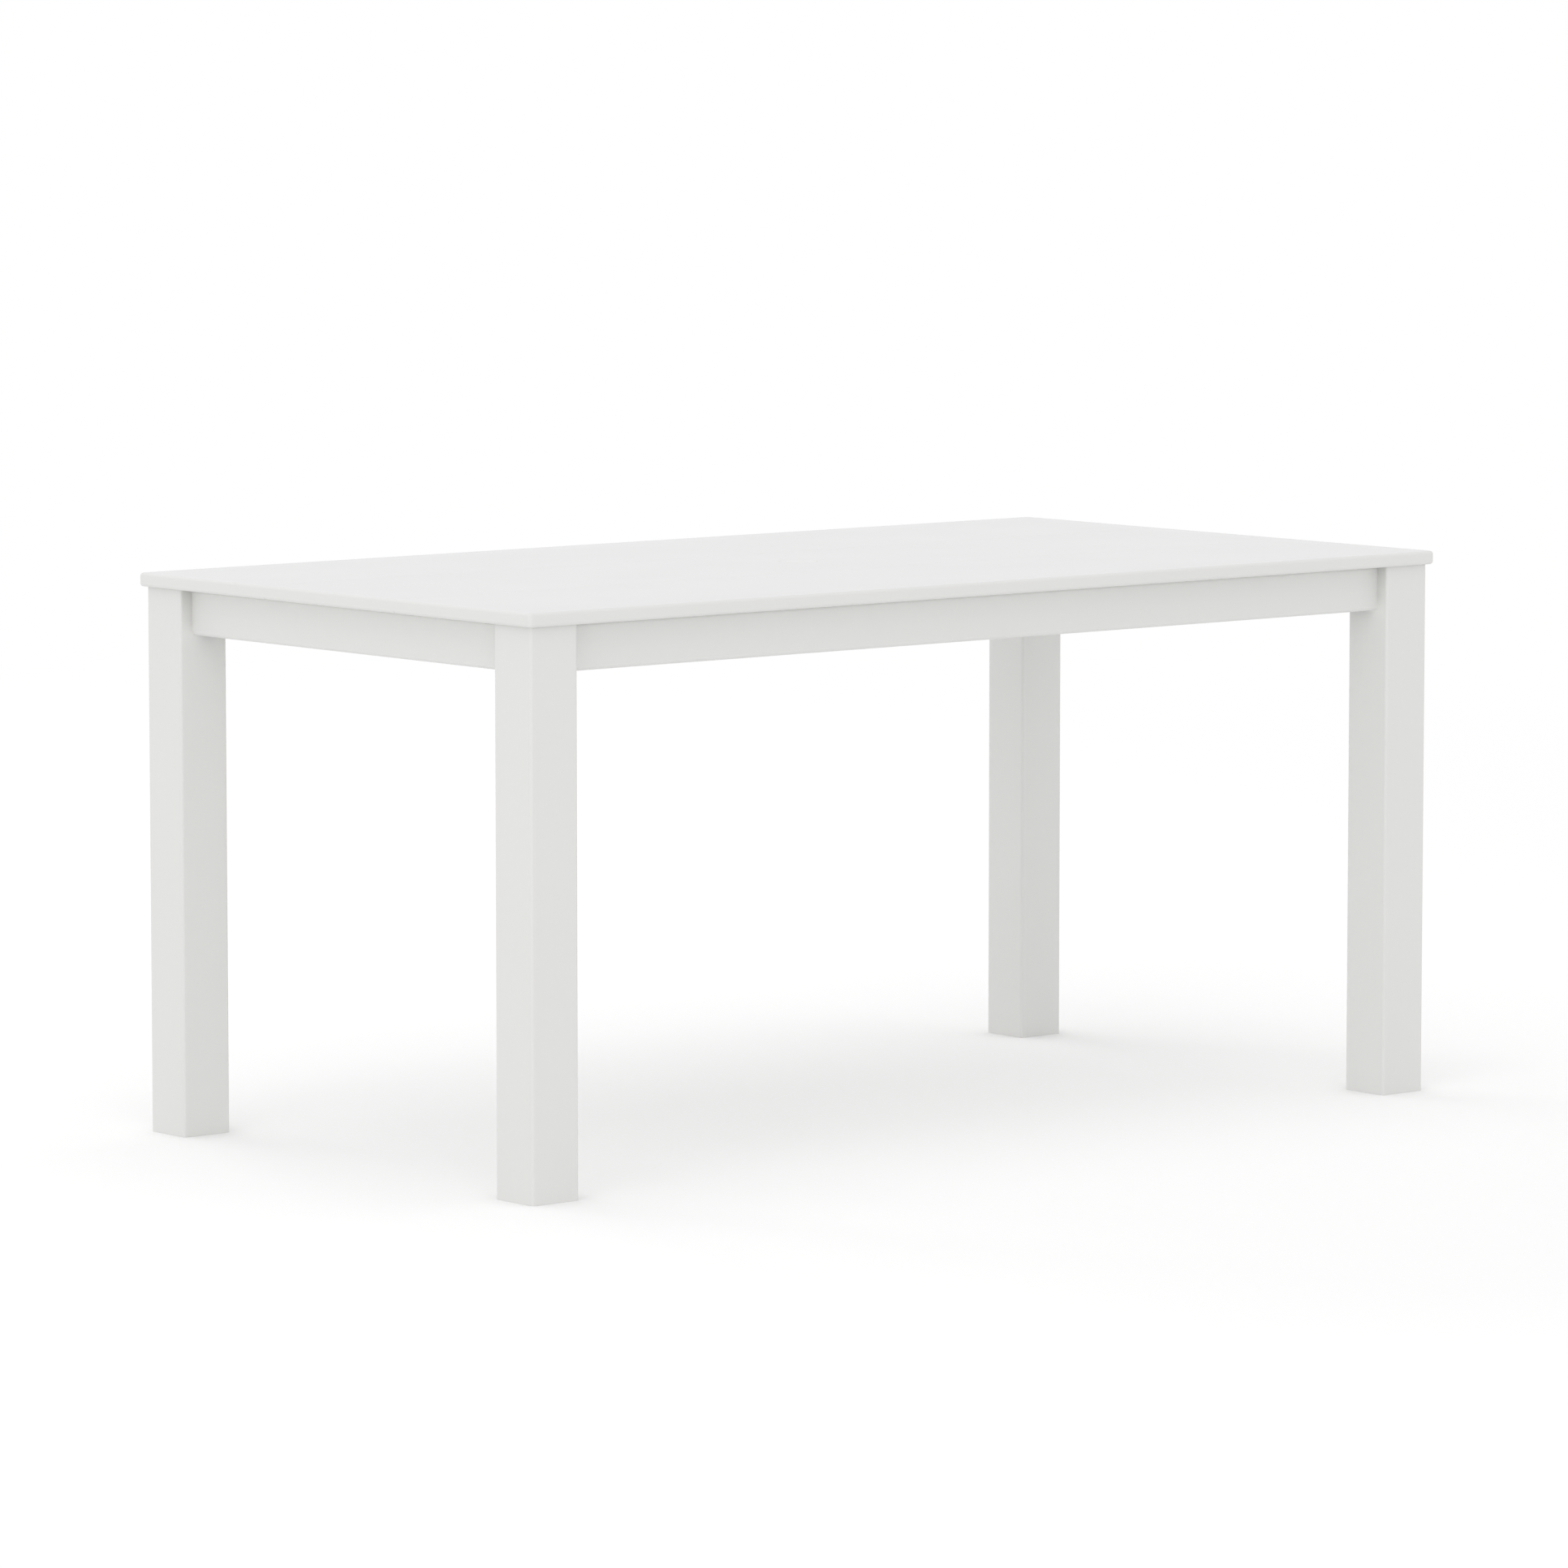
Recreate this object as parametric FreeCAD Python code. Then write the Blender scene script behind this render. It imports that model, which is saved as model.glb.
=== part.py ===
import FreeCAD, Part
import math
import os

# Outdoor dining table made of white plastic lumber. Three wide boards lie side by side along
# the table and form the top. Battens under the boards hold them together, and an apron of four
# rails ties four square legs into a frame. The middle board has an umbrella hole with a cap.
# X runs along the table, Y across it and Z up. The origin is on the ground, under the middle.
# Front is -Y, back is +Y, left is -X and right is +X. All sizes are in millimetres.

# Overall sizes
table_length = 1625.6
table_height = 770.2
board_names = ("front", "centre", "back")
board_width = 287.6
board_thickness = 19.05

# Rounded edges of the top
top_edge_radius = 4.5
top_corner_radius = 6.0
seam_upper_edge_radius = 0.8
seam_lower_edge_radius = 4.7

# Legs
leg_side = 77.2
leg_arris_radius = 4.0
leg_foot_radius = 0.4
top_overhang = 8.1

# Apron rails
apron_thickness = 19.05
apron_height = 63.0
apron_recess = 20.0
apron_edge_radius = 5.5

# Battens under the boards
batten_thickness = 19.05
batten_width = 70.0
centre_batten_width = 120.0
batten_edge_radius = 3.0
batten_end_clearance = 0.5
batten_names = ("left_outer", "left_inner", "centre", "right_inner", "right_outer")

# Umbrella hole and its cap
umbrella_hole_radius = 22.25
skirt_seat_radius = 23.8
cap_seat_radius = 26.5
cap_seat_depth = 2.4
cap_clearance = 0.3
cap_skirt_wall = 2.2
cap_skirt_length = 10.0
skirt_end_clearance = 0.5
cap_slot_width = 3.0
cap_slot_count = 4
cap_rim_radius = 0.7
hole_rim_radius = 0.7

# Corner brackets, which pull each leg into its corner of the apron
bracket_thickness = 3.0
bracket_height = 50.0
bracket_wing_length = 30.0
bracket_bend_radius = 2.0
bracket_hole_radius = 4.5
leg_flat_depth = 10.0
leg_flat_margin = 3.0
pull_up_gap = 6.0

# Hanger bolts, washers and nuts of the corner brackets
bolt_radius = 4.0
bolt_embed = 42.0
bolt_tip_length = 6.0
bolt_tip_radius = 1.5
bolt_stick_out = 5.0
bolt_end_chamfer = 0.8
bolt_spacing = 26.0
washer_radius = 8.0
washer_thickness = 1.6
washer_clearance = 0.2
nut_across_flats = 13.0
nut_height = 6.5
nut_sides = 6
nut_clearance = 0.05

# Angle brackets between the apron and the boards
angle_flange = 38.0
angle_width = 20.0
angle_thickness = 2.5
angle_bend_radius = 2.0
angle_near_hole = 13.0
angle_far_hole = 29.0
angle_hole_radius = 2.6

# Pan-head screws: the long ones hold the battens, the short ones hold the brackets
screw_radius = 2.1
screw_head_radius = 4.2
screw_head_height = 2.6
screw_head_rim = 1.0
screw_tip_length = 5.0
screw_socket_side = 2.4
screw_socket_depth = 1.5
batten_screw_length = 32.0
bracket_screw_length = 16.0

# Clearances of the fasteners and the overrun of every cut
hole_clearance = 0.05
hole_end_clearance = 1.0
overrun = 5.0

# Where repeated pieces sit
batten_screw_inset = 45.0
batten_screw_offset_share = 0.25
end_angle_shares = (-0.52, 0.0, 0.52)
wing_screw_share = 0.6
bracket_screw_spacing_share = 0.58

# Directions
up = FreeCAD.Vector(0, 0, 1)
down = FreeCAD.Vector(0, 0, -1)
ground_origin = FreeCAD.Vector(0, 0, 0)
across_x = FreeCAD.Vector(1, 0, 0)
across_y = FreeCAD.Vector(0, 1, 0)
same_place = 1e-6

# Sizes worked out from the ones above
board_count = len(board_names)
table_width = board_count * board_width
half_length = table_length / 2
half_width = table_width / 2
underside = table_height - board_thickness
leg_outer_x = half_length - top_overhang
leg_outer_y = half_width - top_overhang
leg_inner_x = leg_outer_x - leg_side
leg_inner_y = leg_outer_y - leg_side
apron_outer_x = leg_outer_x - apron_recess
apron_outer_y = leg_outer_y - apron_recess
apron_inner_x = apron_outer_x - apron_thickness
apron_inner_y = apron_outer_y - apron_thickness
apron_bottom = underside - apron_height
batten_bottom = underside - batten_thickness
batten_pitch = 2 * apron_inner_x / (len(batten_names) + 1)

# Plan of the corner brackets. In each corner, distances run inwards from the inner faces of the
# two apron rails. A line across the corner is given by the sum of its two distances.
leg_reach = leg_side - apron_recess - apron_thickness
leg_flat_sum = 2 * leg_reach - leg_flat_depth
plate_sum = leg_flat_sum + pull_up_gap * math.sqrt(2)
plate_back_sum = plate_sum + bracket_thickness * math.sqrt(2)
bracket_reach = plate_sum + bracket_wing_length
bracket_middle = underside - apron_height / 2
bracket_bottom = bracket_middle - bracket_height / 2


def vector(x, y, z):
    """Returns the point x, y, z."""
    return FreeCAD.Vector(x, y, z)


def block(low, high):
    """Returns a box between its lowest and highest corners."""
    return Part.makeBox(high.x - low.x, high.y - low.y, high.z - low.z, low)


def prism(outline, low, high):
    """Returns an outline of x, y pairs raised from height low to height high."""
    points = [vector(x, y, low) for x, y in outline]
    wire = Part.makePolygon(points + points[:1])
    return Part.Face(wire).extrude(up * (high - low))


def upright_edges(shape):
    """Returns the straight edges of a shape that run along Z."""
    return [edge for edge in shape.Edges
            if edge.BoundBox.XLength < same_place and edge.BoundBox.YLength < same_place]


def edges_at_height(shape, height):
    """Returns the edges of a shape that lie flat at one height."""
    return [edge for edge in shape.Edges
            if abs(edge.BoundBox.ZMin - height) < same_place
            and abs(edge.BoundBox.ZMax - height) < same_place]


def placed(shape, position, direction):
    """Returns a copy of a shape built at the origin along +Z, moved and turned to its place."""
    turn = FreeCAD.Rotation(up, direction)
    return shape.transformed(FreeCAD.Placement(position, turn).toMatrix())


def mirrored(shape, side_x, side_y):
    """Returns a shape built in the back right corner, mirrored to another corner."""
    if side_x < 0:
        shape = shape.mirror(ground_origin, across_x)
    if side_y < 0:
        shape = shape.mirror(ground_origin, across_y)
    return shape


def hole(seat, direction, radius, depth):
    """Returns the cylinder that drills a hole from a seat along a direction."""
    return Part.makeCylinder(radius, depth + overrun, seat - direction * overrun, direction)


def drilled(shape, holes):
    """Returns a shape without the holes that reach it."""
    near = [cutter for cutter in holes if shape.BoundBox.intersect(cutter.BoundBox)]
    if not near:
        return shape
    return shape.cut(near)


def export(name, shape):
    """Writes one sub-part to its own file."""
    shape.exportStep("parts/" + name + ".step")


def pan_head_screw(length):
    """Returns a pan-head screw with its head's seat at the origin and its tip along +Z."""
    dome_rise = screw_head_height - screw_head_rim
    dome_radius = (screw_head_radius ** 2 + dome_rise ** 2) / (2 * dome_rise)
    half_way = math.asin(screw_head_radius / dome_radius) / 2
    dome_start = vector(0, 0, -screw_head_height)
    dome_middle = vector(dome_radius * math.sin(half_way), 0,
                         dome_radius * (1 - math.cos(half_way)) - screw_head_height)
    dome_end = vector(screw_head_radius, 0, -screw_head_rim)
    dome = Part.Arc(dome_start, dome_middle, dome_end).toShape()
    rest = Part.makePolygon([
        dome_end,
        vector(screw_head_radius, 0, 0),
        vector(screw_radius, 0, 0),
        vector(screw_radius, 0, length - screw_tip_length),
        vector(0, 0, length),
        dome_start])
    outline = Part.Wire([dome] + rest.Edges)
    screw = Part.Face(outline).revolve(ground_origin, up, 360)
    half_socket = screw_socket_side / 2
    socket = block(vector(-half_socket, -half_socket, -screw_head_height - overrun),
                   vector(half_socket, half_socket, screw_socket_depth - screw_head_height))
    return screw.cut(socket)


def screw_hole(seat, direction, length):
    """Returns the pilot hole of one screw."""
    return hole(seat, direction, screw_radius + hole_clearance, length + hole_end_clearance)


def batten_x(index):
    """Returns where a batten's middle line lies along the table."""
    return (index - (len(batten_names) - 1) / 2) * batten_pitch


def board_y(index):
    """Returns where a board's middle line lies across the table."""
    return (index - (board_count - 1) / 2) * board_width


def batten_screw_seats():
    """Returns the seats of the screws that go up through the battens, two for each board."""
    stagger = batten_screw_offset_share * batten_width
    seats = []
    for batten in range(len(batten_names)):
        for board in range(board_count):
            low_y = max(board_y(board) - board_width / 2, -apron_inner_y)
            high_y = min(board_y(board) + board_width / 2, apron_inner_y)
            seats.append(vector(batten_x(batten) - stagger, low_y + batten_screw_inset, batten_bottom))
            seats.append(vector(batten_x(batten) + stagger, high_y - batten_screw_inset, batten_bottom))
    return seats


def whole_top():
    """Returns the top as one slab with rounded corners and edges, before it is parted."""
    slab = block(vector(-half_length, -half_width, underside),
                 vector(half_length, half_width, table_height))
    slab = slab.makeFillet(top_corner_radius, upright_edges(slab))
    edges = edges_at_height(slab, underside) + edges_at_height(slab, table_height)
    return slab.makeFillet(top_edge_radius, edges)


def top_board(slab, index):
    """Returns one board of the top. Along its seams the edges are eased above and rounder below."""
    low_y = board_y(index) - board_width / 2
    high_y = board_y(index) + board_width / 2
    seams = [y for y in (low_y, high_y) if half_width - abs(y) > top_corner_radius]
    outer_low_y = low_y if low_y in seams else low_y - overrun
    outer_high_y = high_y if high_y in seams else high_y + overrun
    strip = block(vector(-half_length - overrun, outer_low_y, underside),
                  vector(half_length + overrun, outer_high_y, table_height))
    for height, radius in ((table_height, seam_upper_edge_radius), (underside, seam_lower_edge_radius)):
        edges = [edge for edge in edges_at_height(strip, height) for y in seams
                 if abs(edge.BoundBox.YMin - y) < same_place and abs(edge.BoundBox.YMax - y) < same_place]
        strip = strip.makeFillet(radius, edges)
    return slab.common(strip)


def with_umbrella_hole(board):
    """Returns the middle board with the umbrella hole, which widens in two steps for the cap."""
    top_centre = vector(0, 0, table_height)
    skirt_seat_depth = cap_seat_depth + cap_skirt_length + skirt_end_clearance
    board = board.cut(hole(top_centre, down, umbrella_hole_radius, board_thickness + overrun))
    board = board.cut(hole(top_centre, down, skirt_seat_radius, skirt_seat_depth))
    board = board.cut(hole(top_centre, down, cap_seat_radius, cap_seat_depth))
    rim = [edge for edge in edges_at_height(board, table_height)
           if abs(edge.BoundBox.XLength - 2 * cap_seat_radius) < same_place]
    return board.makeFillet(hole_rim_radius, rim)


def umbrella_cap():
    """Returns the cap: a flat disc that lies in its seat, with a slotted skirt in the hole."""
    seat_height = table_height - cap_seat_depth
    disc = Part.makeCylinder(cap_seat_radius - cap_clearance, cap_seat_depth,
                             vector(0, 0, seat_height))
    disc = disc.makeFillet(cap_rim_radius, edges_at_height(disc, table_height))
    skirt_radius = skirt_seat_radius - cap_clearance
    skirt_start = vector(0, 0, seat_height - cap_skirt_length)
    skirt = Part.makeCylinder(skirt_radius, cap_skirt_length, skirt_start)
    skirt = skirt.cut(Part.makeCylinder(skirt_radius - cap_skirt_wall, cap_skirt_length, skirt_start))
    half_slot = cap_slot_width / 2
    slot = block(vector(0, -half_slot, skirt_start.z - overrun),
                 vector(skirt_radius + overrun, half_slot, seat_height - cap_skirt_wall))
    for index in range(cap_slot_count):
        turn = FreeCAD.Rotation(up, 360 * (index + 1 / 2) / cap_slot_count)
        skirt = skirt.cut(slot.transformed(FreeCAD.Placement(ground_origin, turn).toMatrix()))
    return disc.fuse(skirt).removeSplitter()


def batten(index):
    """Returns one batten, which runs across under the boards between the long rails."""
    width = centre_batten_width if batten_names[index] == "centre" else batten_width
    half_reach = apron_inner_y - batten_end_clearance
    piece = block(vector(batten_x(index) - width / 2, -half_reach, batten_bottom),
                  vector(batten_x(index) + width / 2, half_reach, underside))
    return piece.makeFillet(batten_edge_radius, edges_at_height(piece, batten_bottom))


def long_rail():
    """Returns the apron rail along the back, cut square between the inner faces of the legs."""
    rail = block(vector(-leg_inner_x, apron_inner_y, apron_bottom),
                 vector(leg_inner_x, apron_outer_y, underside))
    long_edges = [edge for edge in rail.Edges if edge.BoundBox.XLength > apron_height]
    return rail.makeFillet(apron_edge_radius, long_edges)


def end_rail():
    """Returns the apron rail at the right end, cut square between the inner faces of the legs."""
    rail = block(vector(apron_inner_x, -leg_inner_y, apron_bottom),
                 vector(apron_outer_x, leg_inner_y, underside))
    long_edges = [edge for edge in rail.Edges if edge.BoundBox.YLength > apron_height]
    return rail.makeFillet(apron_edge_radius, long_edges)


def leg():
    """Returns the back right leg: a straight square post with a flat for the bolts inside."""
    post = block(vector(leg_inner_x, leg_inner_y, 0),
                 vector(leg_outer_x, leg_outer_y, underside))
    post = post.makeFillet(leg_arris_radius, upright_edges(post))
    post = post.makeFillet(leg_foot_radius, edges_at_height(post, 0))
    outline = [(apron_inner_x - leg_flat_sum, apron_inner_y),
               (apron_inner_x, apron_inner_y - leg_flat_sum),
               (apron_inner_x - leg_flat_sum, apron_inner_y - leg_flat_sum)]
    flat = prism(outline, bracket_bottom - leg_flat_margin, underside + overrun)
    return post.cut(flat)


def corner_bracket():
    """Returns the back right corner bracket: a plate across the corner with two wings."""
    shoulder = plate_back_sum - bracket_thickness
    plan = [(bracket_reach, 0),
            (plate_sum, 0),
            (0, plate_sum),
            (0, bracket_reach),
            (bracket_thickness, bracket_reach),
            (bracket_thickness, shoulder),
            (shoulder, bracket_thickness),
            (bracket_reach, bracket_thickness)]
    outline = [(apron_inner_x - along, apron_inner_y - across) for along, across in plan]
    plate = prism(outline, bracket_bottom, bracket_bottom + bracket_height)
    bends = [edge for edge in upright_edges(plate) if is_bracket_bend(edge)]
    return plate.makeFillet(bracket_bend_radius, bends)


def is_bracket_bend(edge):
    """Tells whether an upright edge of the corner bracket lies at one of its two bends."""
    along = apron_inner_x - edge.Vertexes[0].X
    across = apron_inner_y - edge.Vertexes[0].Y
    return max(along, across) < bracket_reach - same_place


def on_diagonal(distance_sum, height):
    """Returns the point of the corner's diagonal on the line with this sum of distances."""
    return vector(apron_inner_x - distance_sum / 2, apron_inner_y - distance_sum / 2, height)


def bolt_heights():
    """Returns the heights of the two bolts in a corner."""
    return [bracket_middle - bolt_spacing / 2, bracket_middle + bolt_spacing / 2]


def hanger_bolt():
    """Returns a hanger bolt with its pointed end at the origin and its nut end along +Z."""
    length = (bolt_embed + pull_up_gap + bracket_thickness + washer_thickness
              + nut_height + bolt_stick_out)
    outline = Part.makePolygon([
        ground_origin,
        vector(bolt_tip_radius, 0, 0),
        vector(bolt_radius, 0, bolt_tip_length),
        vector(bolt_radius, 0, length - bolt_end_chamfer),
        vector(bolt_radius - bolt_end_chamfer, 0, length),
        vector(0, 0, length),
        ground_origin])
    return Part.Face(outline).revolve(ground_origin, up, 360)


def washer():
    """Returns a flat washer that lies on the origin."""
    disc = Part.makeCylinder(washer_radius, washer_thickness)
    return disc.cut(hole(ground_origin, up, bolt_radius + washer_clearance, washer_thickness + overrun))


def nut():
    """Returns a hexagon nut that lies on the origin."""
    corner_radius = nut_across_flats / 2 / math.cos(math.pi / nut_sides)
    corners = [(corner_radius * math.cos(2 * math.pi * side / nut_sides),
                corner_radius * math.sin(2 * math.pi * side / nut_sides)) for side in range(nut_sides)]
    body = prism(corners, 0, nut_height)
    return body.cut(hole(ground_origin, up, bolt_radius + nut_clearance, nut_height + overrun))


def wing_screw_seats():
    """Returns the seat and direction of each screw in the wings of the back right bracket."""
    along = plate_sum + wing_screw_share * bracket_wing_length
    half_spacing = bracket_screw_spacing_share * bracket_height / 2
    seats = []
    for height in (bracket_middle - half_spacing, bracket_middle + half_spacing):
        long_seat = vector(apron_inner_x - along, apron_inner_y - bracket_thickness, height)
        end_seat = vector(apron_inner_x - bracket_thickness, apron_inner_y - along, height)
        seats.append((long_seat, across_y))
        seats.append((end_seat, across_x))
    return seats


def angle_bracket():
    """Returns an angle bracket in its inner corner's place: one flange down, one along -Y."""
    half = angle_width / 2
    upright = block(vector(-half, -angle_thickness, -angle_flange), vector(half, 0, 0))
    level = block(vector(-half, -angle_flange, -angle_thickness), vector(half, 0, 0))
    piece = upright.fuse(level).removeSplitter()
    bend = [edge for edge in piece.Edges
            if edge.BoundBox.YLength < same_place and edge.BoundBox.ZLength < same_place
            and abs(edge.BoundBox.YMax + angle_thickness) < same_place
            and abs(edge.BoundBox.ZMax + angle_thickness) < same_place]
    piece = piece.makeFillet(angle_bend_radius, bend)
    return drilled(piece, [hole(seat, direction, angle_hole_radius, angle_thickness + overrun)
                           for seat, direction in angle_screw_seats()])


def angle_screw_seats():
    """Returns the seat and direction of each screw of an angle bracket, in its own place."""
    seats = []
    for distance in (angle_near_hole, angle_far_hole):
        seats.append((vector(0, -angle_thickness, -distance), across_y))
        seats.append((vector(0, -distance, -angle_thickness), up))
    return seats


def angle_placements():
    """Returns the place of each angle bracket: along both long rails and both end rails."""
    places = []
    bays = range(1, len(batten_names))
    for side in (1, -1):
        turn = FreeCAD.Rotation(up, 90 - 90 * side)
        for bay in bays:
            x = (batten_x(bay - 1) + batten_x(bay)) / 2
            places.append(FreeCAD.Placement(vector(x, side * apron_inner_y, underside), turn))
    for side in (1, -1):
        turn = FreeCAD.Rotation(up, -90 * side)
        for share in end_angle_shares:
            y = share * apron_inner_y
            places.append(FreeCAD.Placement(vector(side * apron_inner_x, y, underside), turn))
    return places


corners = {"back_right": (1, 1), "back_left": (-1, 1), "front_left": (-1, -1), "front_right": (1, -1)}
diagonal = vector(-1, -1, 0).normalize()

# Screws that hold the battens to the boards
long_screw = pan_head_screw(batten_screw_length)
batten_screws = [placed(long_screw, seat, up) for seat in batten_screw_seats()]
batten_screw_holes = [screw_hole(seat, up, batten_screw_length) for seat in batten_screw_seats()]

# Angle brackets and their screws
short_screw = pan_head_screw(bracket_screw_length)
angle_brackets = []
angle_screws = []
angle_screw_holes = []
for place in angle_placements():
    angle_brackets.append(angle_bracket().transformed(place.toMatrix()))
    for seat, direction in angle_screw_seats():
        screw = placed(short_screw, seat, direction)
        cutter = screw_hole(seat, direction, bracket_screw_length)
        angle_screws.append(screw.transformed(place.toMatrix()))
        angle_screw_holes.append(cutter.transformed(place.toMatrix()))

# Corner fasteners, first in the back right corner and then in every corner
bolt_holes = []
wing_screw_holes = []
hanger_bolts = []
washers = []
nuts = []
wing_screws = []
bracket_holes = []
for height in bolt_heights():
    flat_point = on_diagonal(leg_flat_sum, height)
    back_point = on_diagonal(plate_back_sum, height)
    bolt_holes.append(hole(flat_point, -diagonal, bolt_radius + hole_clearance,
                           bolt_embed + hole_end_clearance))
    bracket_holes.append(hole(back_point, -diagonal, bracket_hole_radius,
                              bracket_thickness + pull_up_gap))
    hanger_bolts.append(placed(hanger_bolt(), flat_point - diagonal * bolt_embed, diagonal))
    washers.append(placed(washer(), back_point, diagonal))
    nuts.append(placed(nut(), back_point + diagonal * washer_thickness, diagonal))
for seat, direction in wing_screw_seats():
    wing_screws.append(placed(short_screw, seat, direction))
    wing_screw_holes.append(screw_hole(seat, direction, bracket_screw_length))


def in_every_corner(shapes):
    """Returns the shapes of the back right corner repeated in all four corners."""
    return [mirrored(shape, side_x, side_y) for side_x, side_y in corners.values() for shape in shapes]


all_wing_screw_holes = in_every_corner(wing_screw_holes)

os.makedirs("parts", exist_ok=True)

# The three boards of the top
slab = whole_top()
for index, name in enumerate(board_names):
    board = top_board(slab, index)
    if name == "centre":
        board = with_umbrella_hole(board)
    export("top_board_" + name, drilled(board, batten_screw_holes + angle_screw_holes))

# The cap of the umbrella hole
export("umbrella_hole_cap", umbrella_cap())

# The battens
for index, name in enumerate(batten_names):
    piece = drilled(batten(index), batten_screw_holes)
    if name == "centre":
        piece = drilled(piece, [hole(vector(0, 0, underside), down, umbrella_hole_radius,
                                     batten_thickness + overrun)])
    export("batten_" + name, piece)

# The apron rails
for name, side in (("back", 1), ("front", -1)):
    rail = mirrored(long_rail(), 1, side)
    export("apron_rail_" + name, drilled(rail, all_wing_screw_holes + angle_screw_holes))
for name, side in (("right", 1), ("left", -1)):
    rail = mirrored(end_rail(), side, 1)
    export("apron_rail_" + name, drilled(rail, all_wing_screw_holes + angle_screw_holes))

# The legs and corner brackets
one_leg = drilled(leg(), bolt_holes)
one_bracket = drilled(corner_bracket(), bracket_holes + wing_screw_holes)
for name, (side_x, side_y) in corners.items():
    export("leg_" + name, mirrored(one_leg, side_x, side_y))
    export("corner_bracket_" + name, mirrored(one_bracket, side_x, side_y))

# The fasteners, one group of separate pieces for each kind
export("hanger_bolts", Part.makeCompound(in_every_corner(hanger_bolts)))
export("bolt_washers", Part.makeCompound(in_every_corner(washers)))
export("bolt_nuts", Part.makeCompound(in_every_corner(nuts)))
export("corner_bracket_screws", Part.makeCompound(in_every_corner(wing_screws)))
export("angle_brackets", Part.makeCompound(angle_brackets))
export("angle_bracket_screws", Part.makeCompound(angle_screws))
export("batten_screws", Part.makeCompound(batten_screws))
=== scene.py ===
import bpy
import math
import numpy as np
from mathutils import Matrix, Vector


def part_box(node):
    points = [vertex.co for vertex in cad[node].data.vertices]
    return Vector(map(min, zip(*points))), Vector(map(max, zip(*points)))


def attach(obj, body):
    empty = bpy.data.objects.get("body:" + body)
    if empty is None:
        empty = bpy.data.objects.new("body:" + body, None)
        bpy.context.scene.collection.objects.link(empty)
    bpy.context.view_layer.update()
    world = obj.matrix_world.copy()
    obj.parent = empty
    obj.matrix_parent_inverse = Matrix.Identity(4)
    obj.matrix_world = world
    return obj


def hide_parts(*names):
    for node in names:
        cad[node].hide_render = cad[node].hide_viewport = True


# Outdoor dining table made of white plastic lumber, in a plain white studio.
# X runs along the table, Y across it and Z up. All sizes are in metres, and mm makes them of
# millimetres. The origin is on the floor, under the middle of the table.

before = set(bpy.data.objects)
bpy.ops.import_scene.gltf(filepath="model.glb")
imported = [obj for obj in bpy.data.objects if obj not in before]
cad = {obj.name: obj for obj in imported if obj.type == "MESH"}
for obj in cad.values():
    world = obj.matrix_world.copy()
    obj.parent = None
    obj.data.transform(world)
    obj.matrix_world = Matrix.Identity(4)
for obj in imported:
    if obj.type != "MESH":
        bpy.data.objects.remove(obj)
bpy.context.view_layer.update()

mm = 0.001
full_turn = 2 * math.pi
same_spot = 0.001 * mm
sharp_angle = math.radians(35)

# Camera, far off and through a long lens, at the photograph's viewing angle
camera_place = Vector((-7.0430, -8.3644, 1.6308))
camera_target = Vector((-0.0252, 0.0, 0.4610))
camera_lens = 181.29
camera_sensor = 36.0
camera_reach = 400.0

# Studio. The floor's glow is its lift, and it dims within the contact reach of what stands there.
floor_half = 150.0
floor_white = 0.90
floor_lift = 0.131
contact_reach = 45 * mm
contact_depth = 1.6
floor_fade_start = 2.2
floor_fade_end = 7.0
sky_strength = 0.768
pure_white = (1, 1, 1, 1)

# Pan-head screws with a square socket
screw_head_radius = 4.2 * mm
screw_head_height = 2.6 * mm
screw_head_rim = 1.0 * mm
screw_rim_rounding = 0.25 * mm
screw_crest_radius = 2.1 * mm
screw_core_radius = 1.45 * mm
screw_point_radius = 0.2 * mm
screw_point_length = 5.0 * mm
screw_thread_pitch = 2.4 * mm
screw_thread_start = 1.2 * mm
socket_side = 2.4 * mm
socket_depth = 1.5 * mm
screw_columns = 16
dome_steps = 4
screw_rows_per_pitch = 5
screw_thread = {"base_share": 0.6, "crest_share": 0.1}

# Hanger bolts: a wood thread in the leg, a plain collar and a fine thread for the nut
bolt_radius = 4.0 * mm
bolt_point_radius = 1.2 * mm
bolt_point_length = 6.0 * mm
bolt_wood_core = 2.9 * mm
bolt_wood_pitch = 3.2 * mm
bolt_wood_end = 33.0 * mm
bolt_collar_radius = 3.6 * mm
bolt_collar_start = 36.0 * mm
bolt_collar_end = 41.0 * mm
bolt_fine_start = 42.0 * mm
bolt_fine_core = 3.27 * mm
bolt_fine_pitch = 1.25 * mm
bolt_end_chamfer = 0.8 * mm
bolt_columns = 24
bolt_rows_per_pitch = 8
bolt_wood_thread = {"base_share": 0.55, "crest_share": 0.08}
bolt_fine_thread = {"base_share": 0.95, "crest_share": 0.15}

# Nuts and washers
nut_across_flats = 13.0 * mm
nut_bore_radius = 4.05 * mm
nut_mouth_chamfer = 0.45 * mm
nut_face_share = 0.95
nut_chamfer_slope = math.tan(math.radians(30))
nut_columns = 36
washer_radius = 8.0 * mm
washer_bore_radius = 4.2 * mm
washer_rounding = 0.35 * mm
washer_columns = 48
washer_rounding_steps = 4

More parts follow.
